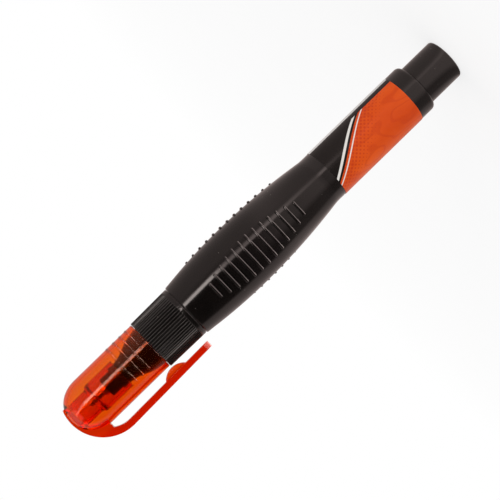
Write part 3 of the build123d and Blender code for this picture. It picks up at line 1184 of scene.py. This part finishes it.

# %% [markdown]
# ## Winding the spring
# The coil stands on its seat and reaches the flange of the pin's carrier, with half a wire and a
# little air at each end.

# %% Valve spring
wire_r = 0.16
wire_gap = 0.05
carrier_flange_z = carrier_low + 1.4
spring_low = seat_high + wire_r + wire_gap
spring_high = carrier_flange_z - wire_r - wire_gap
spring_sizes = {
    "Coil radius": 1.55 * mm,
    "Wire radius": wire_r * mm,
    "Turns": 5.0,
    "Base height": spring_low * mm,
    "Rise": (spring_high - spring_low) * mm,
}
spring = run_tree(placed("valve_coil", bmesh.new()), spring_tree(), spring_steel, spring_sizes)
dress(smooth(spring, limit=50), spring_steel, "head", "spring_steel", "valve_spring")
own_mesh(spring)

# %% [markdown]
# ## Inner plastic and the mixing ball
# The washer, the spring's seat and the pin's carrier are undyed plastic: milky, slightly waxy and
# a little see-through. Their CAD shapes are right, so they only get this finish, and the loose
# ball gets the steel.

# %% Undyed plastic
milk_tones = ((0.72, 0.70, 0.64, 1), (0.80, 0.79, 0.75, 1))
milk_scale = 700
wax_scale = 1600
wax_gloss = (0.38, 0.52)
wax_depth = 0.6 * mm
wax_peel_scale = 3000
wax_peel = 0.006 * mm


def undyed_plastic():
    """Milky plastic that lets a little light in."""
    finish, tree, shader, place = new_finish("natural_plastic")
    milk = blend(tree, clouds(tree, place, milk_scale), *milk_tones)
    tree.links.new(milk, shader.inputs["Base Color"])
    tree.links.new(clouds(tree, place, wax_scale, 2.0, *wax_gloss), shader.inputs["Roughness"])
    shader.inputs["Subsurface Weight"].default_value = 0.4
    shader.inputs["Subsurface Scale"].default_value = wax_depth
    relief(tree, shader, noise(tree, place, wax_peel_scale), wax_peel)
    return finish


natural_plastic = undyed_plastic()
kept_finishes = {
    "neck_seal": natural_plastic,
    "spring_seat": natural_plastic,
    "needle_carrier": natural_plastic,
    "mixing_ball": spring_steel,
}
for node_name, finish in kept_finishes.items():
    node_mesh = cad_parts[node_name].data
    node_mesh.materials.clear()
    node_mesh.materials.append(finish)
    print(node_name, "has", finish.name)

# %% [markdown]
# ## Clear orange
# The cap is tinted right through. Seen through one wall it is orange, through two walls it is red
# orange, and along an edge it is deep red, because the dye takes out blue first and then green.
# A tint on the surface alone can't do that, so most of the colour is an absorption inside. The
# surface adds a light tint with painted shade: redder on the side towards the clip, away from the
# lamps, and paler on the lit side. The clip strip itself is tinted deeper red, where the real cap
# looks reddest.

# %% Cap finish
painted_shade_x = (-5.0 * mm, 4.0 * mm)
clip_strip_x = (-9.2 * mm, -7.8 * mm)
clear_tint = (1.0, 0.98, 0.95, 1)
painted_shade_tint = (0.99, 0.78, 0.66, 1)
clip_tint = (0.92, 0.42, 0.34, 1)
polish_scale = 300
polish = (0.035, 0.08)
flow_scale = 180
flow_relief = 0.03 * mm


def clear_orange_plastic():
    """Clear plastic with an orange dye inside, and a light tint on its skin with painted shade towards
    the clip side.
    """
    finish, tree, shader, place = new_finish("clear_orange")
    x = parts_of(tree, place)[0]
    # Painted shade: the skin's tint turns redder away from the lamps, towards the clip side.
    painted_shade_share = ease(tree, x, *painted_shade_x, 1.0, 0.0)
    on_clip = ease(tree, x, *clip_strip_x, 1.0, 0.0)
    tint = blend(tree, painted_shade_share, clear_tint, painted_shade_tint)
    tree.links.new(blend(tree, on_clip, tint, clip_tint), shader.inputs["Base Color"])
    shader.inputs["Transmission Weight"].default_value = 1.0
    shader.inputs["IOR"].default_value = 1.49
    shader.inputs["Specular Tint"].default_value = (0.95, 0.75, 0.65, 1)
    tree.links.new(clouds(tree, place, polish_scale, 3.0, *polish), shader.inputs["Roughness"])
    relief(tree, shader, noise(tree, place, flow_scale), flow_relief)
    dye = add(tree, "ShaderNodeVolumeAbsorption")
    dye.inputs["Color"].default_value = (0.957, 0.66, 0.0, 1)
    dye.inputs["Density"].default_value = 2500
    tree.links.new(dye.outputs[0], tree.nodes["Material Output"].inputs["Volume"])
    return finish


clear_orange = clear_orange_plastic()
print("cap finish", clear_orange.name)

# %% [markdown]
# ## The cap's skirt and dome
# The cap is one moulding: a skirt and dome, low grip ridges, a strip that leaves the back of the
# dome and bends down as the clip, and a sealing sleeve inside. A tinted clear piece must be one
# closed skin, or its inner faces would show. So each form is first a solid, the solids are joined
# by Booleans, and the inside, sleeve and all, is cut out with a single turned cutter.

# %% Cap solids
cap_r = 7.43
cap_bore_r = 6.28
cap_dome_z = cap_mouth_z + 20.8
cap_high = cap_dome_z + 8.25
cap_wall = cap_r - cap_bore_r
mouth_round = 0.25
skirt_count = 12
dome_steps = 26
dome_power = 2.12


def dome_rows(radius, height):
    """Rows of a dome that starts straight and ends flat on the axis, its pole left out."""
    angles = [math.pi / 2 * step / dome_steps for step in range(1, dome_steps)]
    share = 2 / dome_power
    return [(radius * math.cos(a) ** share, cap_dome_z + height * math.sin(a) ** share) for a in angles]


shell_points = outline(
    (0, cap_mouth_z),
    (cap_r, cap_mouth_z, mouth_round),
    *[(cap_r, z) for z in between(cap_mouth_z + mouth_round, cap_dome_z, skirt_count)],
    (cap_r, cap_dome_z),
    *dome_rows(cap_r, cap_high - cap_dome_z),
    (0, cap_high),
)
cap = turned("clear_cap", shell_points)
print("cap blank", len(cap.data.vertices), "points")

# %% [markdown]
# ## The cap's grip ridges
# Four low round ridges go part of the way round, centred on the side away from the clip, for the
# fingers that pull the cap. Each is a part turn of a small circle that stands a little out of the
# skirt.

# %% Grip ridges
ridge_r = 0.45
ridge_rise = 0.14
ridge_centre_r = cap_r + ridge_rise - ridge_r
ridge_ring_steps = 16
ridge_steps = 96
ridge_places = ((2.3, 170), (4.4, 250), (6.7, 250), (9.1, 250))


def arc(centre, radius, first, last, count):
    """Points on an arc, with angles in radians."""
    angles = [first + (last - first) * step / count for step in range(count + 1)]
    return [(centre[0] + radius * math.cos(a), centre[1] + radius * math.sin(a)) for a in angles]


def ridge(offset, degrees):
    """A low round ridge at a height above the cap's mouth, centred away from the clip."""
    centre = (ridge_centre_r, cap_mouth_z + offset)
    points = arc(centre, ridge_r, 0.0, math.tau, ridge_ring_steps)[:-1]
    sweep = math.radians(degrees)
    return turned("ridge", points, steps=ridge_steps, start=-sweep / 2, sweep=sweep)


ridges = [ridge(offset, degrees) for offset, degrees in ridge_places]
print(len(ridges), "ridges")

# %% [markdown]
# ## Plates with soft edges
# The clip and its bump are flat forms with a width, like a biscuit cut from dough. The helper takes
# the side outline, gives it a width, and bevels the rims, because a clear edge shows its round.

# %% Plate helper
edge_round = 0.3
edge_steps = 3
end_steps = 8
hair = 0.01 * mm
side_facing = 0.99


def soften(shape, edges, offset, segments, clamp):
    """Rounds edges of a shape by an offset in millimetres."""
    bmesh.ops.bevel(
        shape,
        geom=edges,
        offset=offset * mm,
        offset_type="OFFSET",
        segments=segments,
        profile=0.5,
        affect="EDGES",
        clamp_overlap=clamp,
    )


def low_end_edges(shape):
    """The edges at the lower end of a plate that run out from the axis, one on each side."""
    limit = min(vert.co.z for vert in shape.verts) + hair
    low_edges = [edge for edge in shape.edges if all(vert.co.z < limit for vert in edge.verts)]
    return [edge for edge in low_edges if abs(edge.verts[0].co.y - edge.verts[1].co.y) < hair]


def plate(name, side, width, end_round=0.0):
    """A side outline, in millimetres out from the axis and up, given a width and soft edges."""
    shape = bmesh.new()
    rims = []
    for y in (-width / 2 * mm, width / 2 * mm):
        rims.append([shape.verts.new((-out * mm, y, up * mm)) for out, up in side])
        shape.faces.new(rims[-1])
    near, far = rims
    for step in range(len(side)):
        after = (step + 1) % len(side)
        shape.faces.new((near[step], near[after], far[after], far[step]))
    if end_round:
        soften(shape, low_end_edges(shape), end_round, end_steps, clamp=False)
    bmesh.ops.recalc_face_normals(shape, faces=shape.faces)
    sides = [face for face in shape.faces if abs(face.normal.y) > side_facing]
    rim_edges = list(dict.fromkeys(edge for face in sides for edge in face.edges))
    soften(shape, rim_edges, edge_round, edge_steps, clamp=True)
    return placed(name, shape)


print("plate edges are rounded by", edge_round, "mm")

# %% [markdown]
# ## The clip
# A strip grows out of the back of the dome, bends round and comes down beside the collar. Its outer
# and inner sides are two arcs with different centres, so the strip thins towards its free end.

# %% Clip strip
clip_width = 4.4
clip_gap = 2.67
clip_depth = 1.93
clip_inner = cap_r + clip_gap
clip_outer = clip_inner + clip_depth
bend_r = 11.7
inner_bend_r = 7.5
bend_z = clip_high - bend_r
slot_z = bend_z + 4.3
end_outer = clip_outer - 0.6
end_inner = end_outer - 1.8
clip_end_round = 1.9
back_reach = 3.75
bend_steps = 40
slot_steps = 12
bend_centre = (clip_outer - bend_r, bend_z)
back_angle = math.acos((-back_reach - bend_centre[0]) / bend_r)
inner_centre = (clip_inner - inner_bend_r, bend_z)
slot_angle = math.asin((slot_z - bend_z) / inner_bend_r)
clip_side = [
    *arc(bend_centre, bend_r, back_angle, 0.0, bend_steps),
    (end_outer, clip_low),
    (end_inner, clip_low),
    *arc(inner_centre, inner_bend_r, 0.0, slot_angle, slot_steps),
    (-back_reach, slot_z),
]
clip = plate("clip", clip_side, clip_width, end_round=clip_end_round)
print("clip", len(clip.data.polygons), "faces")

# %% [markdown]
# ## The clip's bump
# A rounded bump on the strip's inner side grips cloth in a pocket. It is one arc whose ends lie on
# the leaning strip, with a root sunk into it so that the Boolean has something to join.

# %% Clip bump
bump_width = 2.8
bump_half = 3.7
bump_gap = 0.69
bump_root = 0.9
bump_steps = 20
bump_z = cap_mouth_z + 0.1
clip_lean = (clip_inner - end_inner) / (bend_z - clip_low)
bump_base = clip_inner - clip_lean * (bend_z - bump_z)
bump_rise = bump_base - cap_r - bump_gap
bump_r = sagged(bump_half, bump_rise)
bump_turn = math.asin(bump_half / bump_r)
bump_centre = (bump_base - bump_rise + bump_r, bump_z)
bump_side = [
    *arc(bump_centre, bump_r, math.pi + bump_turn, math.pi - bump_turn, bump_steps),
    (bump_base + bump_root, bump_z + bump_half),
    (bump_base + bump_root, bump_z - bump_half),
]
bump = plate("bump", bump_side, bump_width)
print("bump", len(bump.data.polygons), "faces")

# %% [markdown]
# ## The cap's inside
# The cutter is the air in the cap: a straight bore, the inner dome, and a deep ring and a disc that
# leave the stepped sealing sleeve standing between them. The sleeve's corners are soft, because
# every edge in clear plastic draws a line.

# %% Cap cutter
sleeve_low = bell_high - 1.0
sleeve_step_z = sleeve_low + 9.5
sleeve_bore_r = ring_r + 0.06
sleeve_r = sleeve_bore_r + 0.94
sleeve_top_r = 3.7
sleeve_top_bore_r = 2.7
sleeve_step = 0.9
step_round = 1.2
root_round = 0.25
sleeve_round = 0.2
dome_gap = 0.1
mouth_flare = 0.2
flare_length = 0.3
flare_gap = 0.01
overrun = 1.0
inner_rise = cap_high - cap_dome_z - cap_wall
inner_dome = dome_rows(cap_bore_r, inner_rise)
outer_ring = [row for row in inner_dome if row[0] > sleeve_top_r + dome_gap]
inner_disc = [row for row in inner_dome if row[0] < sleeve_top_bore_r - dome_gap]


def dome_height(radius):
    """Height of the inner dome at a radius."""
    angle = math.acos((radius / cap_bore_r) ** (dome_power / 2))
    return cap_dome_z + inner_rise * math.sin(angle) ** (2 / dome_power)


cutter_points = outline(
    (0, cap_mouth_z - overrun),
    (cap_bore_r + mouth_flare, cap_mouth_z - overrun),
    (cap_bore_r + mouth_flare, cap_mouth_z - flare_gap),
    (cap_bore_r, cap_mouth_z + flare_length),
    (cap_bore_r, cap_dome_z),
    *outer_ring,
    (sleeve_top_r, dome_height(sleeve_top_r), root_round),
    (sleeve_top_r, sleeve_step_z + sleeve_step, step_round),
    (sleeve_r, sleeve_step_z, step_round),
    (sleeve_r, sleeve_low, sleeve_round),
    (sleeve_bore_r, sleeve_low, sleeve_round),
    (sleeve_bore_r, sleeve_step_z - sleeve_step, step_round),
    (sleeve_top_bore_r, sleeve_step_z, step_round),
    (sleeve_top_bore_r, dome_height(sleeve_top_bore_r), root_round),
    *inner_disc,
    (0, cap_high - cap_wall),
)
cutter = turned("cutter", cutter_points)
print("cutter outline", len(cutter_points), "points")

# %% [markdown]
# ## One closed skin
# The exact solver joins the solids one by one and then cuts the inside. The count of open edges
# has to be nought, because a volume needs a closed skin.

# %% Join and cut
def boolean(piece, other, operation):
    """Joins or cuts a piece with another solid, which is then removed."""
    modifier = piece.modifiers.new(operation, "BOOLEAN")
    modifier.operation = operation
    modifier.solver = "EXACT"
    modifier.object = other
    settle(piece)
    bpy.data.objects.remove(other)


for solid in (clip, bump, *ridges):
    boolean(cap, solid, "UNION")
boolean(cap, cutter, "DIFFERENCE")
cap_shape = bmesh.new()
cap_shape.from_mesh(cap.data)
open_edges = [edge for edge in cap_shape.edges if not edge.is_manifold]
print("cap volume in mm3", round(cap_shape.calc_volume() / mm**3), "open edges", len(open_edges))
cap_shape.free()
dress(smooth(cap), clear_orange, "cap", "clear_orange", "cap")

# %% [markdown]
# ## The studio that gloss sees
# Black plastic shows only what it reflects, so the looks of the pen depend on the room. In this
# studio the side towards the camera is dark, both flanks are grey, and one tall window draws the
# long highlight. It is a rule of direction alone, which serves the floor and the sky alike, so
# that no horizon shows.

# %% Directions and levels
flanks = (
    (-180, 0.60),
    (-130, 0.62),
    (-93, 0.58),
    (-84, 0.03),
    (-60, 0.0),
    (9, 0.0),
    (28, 0.20),
    (45, 0.48),
    (125, 0.50),
    (180, 0.60),
)
window_near_edge = (13.5, 14.5)
window_far_edge = (21.5, 29.5)
window_glow = 2.0
window_lift = 0.06


def bearing(tree, place):
    """A direction's angle off the camera's side, in degrees, and its height."""
    x, y, z = parts_of(tree, place)
    ahead = product(tree, y, -1.0)
    return calc(tree, "DEGREES", calc(tree, "ARCTAN2", x, ahead)), z


def by_angle(tree, angle, levels):
    """A level that runs straight from each given angle to the next."""
    level = levels[0][1]
    for (before, low), (after, high) in zip(levels, levels[1:]):
        level = calc(tree, "ADD", level, ease(tree, angle, before, after, 0.0, high - low))
    return level


def studio(tree, place):
    """What gloss sees in a direction from the pen: grey flanks and one tall window."""
    angle, z = bearing(tree, place)
    opened = ease(tree, angle, *window_near_edge)
    closed = ease(tree, angle, *window_far_edge, 1.0, 0.0)
    glow = ease(tree, z, 0.0, window_lift, window_glow, 2 * window_glow)
    return calc(tree, "ADD", by_angle(tree, angle, flanks), product(tree, opened, closed, glow))


print("window from", window_near_edge[0], "to", window_far_edge[1], "degrees")

# %% [markdown]
# ## Who sees what
# A Light Path node tells rays apart. Camera rays, and rays straight through the cap, see plain
# white. Rays that a surface mirrored see the studio, and a little more of it if they also went
# through the cap, whose walls gather light. All other rays see an even light.

# %% Kinds of rays
lamp_warmth = (1.0, 0.82, 0.78)
cap_gain = 1.7
cap_veil = 0.16
white = (1, 1, 1, 1)


def ray_kinds(tree):
    """Shares of rays that look straight at the surround, and of rays that a surface mirrored."""
    paths = add(tree, "ShaderNodeLightPath").outputs
    through = paths["Is Transmission Ray"]
    straight = calc(tree, "LESS_THAN", paths["Glossy Depth"], 0.5)
    clear_view = calc(tree, "MAXIMUM", paths["Is Camera Ray"], product(tree, through, straight))
    mirrored = calc(tree, "MAXIMUM", paths["Is Glossy Ray"], through)
    gloss_view = calc(tree, "MAXIMUM", calc(tree, "SUBTRACT", mirrored, clear_view), 0.0)
    return clear_view, gloss_view, paths


def paler(tree, level, paths):
    """A level raised for rays that also went through the cap."""
    through = paths["Is Transmission Ray"]
    gain = calc(tree, "MULTIPLY_ADD", through, cap_gain - 1.0, 1.0)
    return calc(tree, "MULTIPLY_ADD", through, cap_veil, product(tree, level, gain))


def seen_colour(tree, level, clear_view, gloss_view, otherwise):
    """White for a straight look, a level for gloss, and a plain colour for the rest."""
    shade = add(tree, "ShaderNodeCombineXYZ")
    for socket, tint in zip(shade.inputs, lamp_warmth):
        tree.links.new(product(tree, level, tint), socket)
    plain = blend(tree, clear_view, otherwise, white)
    return blend(tree, gloss_view, plain, shade.outputs[0])


print("gloss through the cap is raised by", cap_gain)

# %% [markdown]
# ## The floor's own level
# The tail end of the pen mirrors the floor close by, so there the floor has levels of its own by
# angle, and it hands over to the studio farther off. Rays that fall on it steeply see it bright,
# which lights the faces that look towards the tail.

# %% Floor levels
near_levels = (
    (-180, 0.36),
    (-100, 0.36),
    (-86, 0.20),
    (-50, 0.20),
    (-28, 0.58),
    (20, 0.62),
    (40, 0.36),
    (180, 0.36),
)
studio_gain = (0.10, 0.32, 0.15, 1.0)
near_fade = (0.24, 0.52, 1.0, 0.05)
near_boost = (0.06, 0.18, 1.5, 1.0)
steep_slopes = (0.70, 0.92, 1.0, 0.0)
steep_lengths = (0.04, 0.07)
steep_glow = 4.2


def floor_level(tree, place, distance, ray_length):
    """What gloss sees of the floor at a place and a distance from the pen, in metres."""
    far = product(tree, studio(tree, place), ease(tree, distance, *studio_gain))
    near = product(tree, ease(tree, distance, *near_fade), ease(tree, distance, *near_boost))
    near_level = by_angle(tree, bearing(tree, place)[0], near_levels)
    level = calc(tree, "MULTIPLY_ADD", near, near_level, far)
    slope = calc(tree, "DIVIDE", distance, ray_length)
    steep = product(tree, ease(tree, slope, *steep_slopes), ease(tree, ray_length, *steep_lengths))
    return calc(tree, "MULTIPLY_ADD", steep, steep_glow, level)


print("floor hands over between", near_fade[0], "and", near_fade[1], "m")

# %% [markdown]
# ## The floor
# A plain pale floor with the faintest drift of tone. It is mixed with a glow that makes it run into
# the white surround, less of it close to the pen, so that the soft shadow stays.

# %% Floor
floor_half = 3.0
floor_tones = ((0.86, 0.86, 0.86, 1), (0.90, 0.90, 0.90, 1))
floor_scale = 40
glow_share = (0.03, 0.6, 0.72, 1.0)


def floor_finish():
    """Pale floor that mixes with its own glow and keeps the shadow."""
    finish, tree, shader, place = new_finish("pale_floor")
    shader.inputs["Roughness"].default_value = 0.9
    shader.inputs["Specular IOR Level"].default_value = 0.1
    tone = blend(tree, noise(tree, place, floor_scale), *floor_tones)
    tree.links.new(tone, shader.inputs["Base Color"])
    clear_view, gloss_view, paths = ray_kinds(tree)
    away = add(tree, "ShaderNodeVectorMath", operation="LENGTH")
    tree.links.new(place, away.inputs[0])
    distance = away.outputs["Value"]
    level = paler(tree, floor_level(tree, place, distance, paths["Ray Length"]), paths)
    glow = add(tree, "ShaderNodeEmission")
    seen = seen_colour(tree, level, clear_view, gloss_view, white)
    tree.links.new(seen, glow.inputs["Color"])
    glow.inputs["Strength"].default_value = 1.0
    plain_share = product(tree, clear_view, ease(tree, distance, *glow_share))
    mixed = add(tree, "ShaderNodeMixShader")
    tree.links.new(calc(tree, "MAXIMUM", plain_share, gloss_view), mixed.inputs[0])
    tree.links.new(shader.outputs[0], mixed.inputs[1])
    tree.links.new(glow.outputs[0], mixed.inputs[2])
    tree.links.new(mixed.outputs[0], tree.nodes["Material Output"].inputs["Surface"])
    return finish


floor_shape = bmesh.new()
bmesh.ops.create_grid(floor_shape, x_segments=1, y_segments=1, size=floor_half)
floor = placed("floor", floor_shape)
floor.data.materials.append(floor_finish())
print("floor", 2 * floor_half, "m wide")

# %% [markdown]
# ## The surround
# The world follows the same rule: white for a straight look, the studio for gloss, and an even
# pale light for everything else, which fills the shadows.

# %% World
fill_tone = (0.86, 0.86, 0.87, 1)
world = bpy.data.worlds.new("studio")
bpy.context.scene.world = world
world.use_nodes = True
sky = world.node_tree
backdrop = sky.nodes["Background"]
sky_place = add(sky, "ShaderNodeTexCoord").outputs["Generated"]
sky_clear, sky_gloss, sky_paths = ray_kinds(sky)
sky_level = paler(sky, studio(sky, sky_place), sky_paths)
sky_colour = seen_colour(sky, sky_level, sky_clear, sky_gloss, fill_tone)
sky.links.new(sky_colour, backdrop.inputs["Color"])
backdrop.inputs["Strength"].default_value = 1.0
print("surround", world.name)

# %% [markdown]
# ## Two soft boxes
# A tall box beside the camera gives the edges and ribs a crisp light, and a wide weak one overhead
# lays the shadow on the floor. Both are set by how bright they look, so a larger box gives more
# light without a paler reflection.

# %% Lamps
lamp_tint = (1.0, 0.96, 0.90)
lamp_aim = Vector((0, 0, 0.08))


def lamp(name, angle, distance, height, width, tall, radiance):
    """A soft box at an angle off the camera's side, as bright to look at as the radiance says."""
    data = bpy.data.lights.new(name, "AREA")
    data.shape = "RECTANGLE"
    data.size, data.size_y = width, tall
    data.energy = radiance * math.pi * width * tall
    data.color = lamp_tint
    box = bpy.data.objects.new(name, data)
    bpy.context.scene.collection.objects.link(box)
    turn = math.radians(angle)
    place = Vector((distance * math.sin(turn), -distance * math.cos(turn), height))
    facing = (place - lamp_aim).normalized().to_track_quat("Z", "Y")
    box.matrix_world = Matrix.Translation(place) @ facing.to_matrix().to_4x4()
    print(name, round(data.energy, 3), "W")


lamp("window_box", angle=19.5, distance=0.50, height=0.235, width=0.095, tall=0.25, radiance=4.0)
lamp("top_box", angle=0.0, distance=0.05, height=0.65, width=0.40, tall=0.40, radiance=0.6)

# %% [markdown]
# ## The camera
# The photograph looks at the side of the pen from about forty centimetres, a little from the cap's
# end, with the pen lying slantwise across the picture. The camera is turned to suit, so the pen
# itself can stand upright.

# %% Camera
view_distance = 425 * mm
view_width = 133.6 * mm
view_centre = Vector((-0.31 * mm, 0, 74.3 * mm))
view_tilt = math.radians(4.7)
view_roll = math.radians(134.25)
near_limit = 10 * mm
toward_camera = Vector((0, -math.cos(view_tilt), math.sin(view_tilt)))
level_right = Vector((1, 0, 0))
level_up = toward_camera.cross(level_right)
camera_right = math.cos(view_roll) * level_right - math.sin(view_roll) * level_up
camera_up = math.sin(view_roll) * level_right + math.cos(view_roll) * level_up
camera_data = bpy.data.cameras.new("camera")
camera = bpy.data.objects.new("camera", camera_data)
bpy.context.scene.collection.objects.link(camera)
camera_turn = Matrix((camera_right, camera_up, toward_camera)).transposed().to_4x4()
camera.matrix_world = Matrix.Translation(view_centre + toward_camera * view_distance) @ camera_turn
camera_data.lens = camera_data.sensor_width * view_distance / view_width
camera_data.clip_start = near_limit
bpy.context.scene.camera = camera
bpy.context.scene.view_settings.view_transform = "Standard"
print("lens", round(camera_data.lens, 1), "mm")
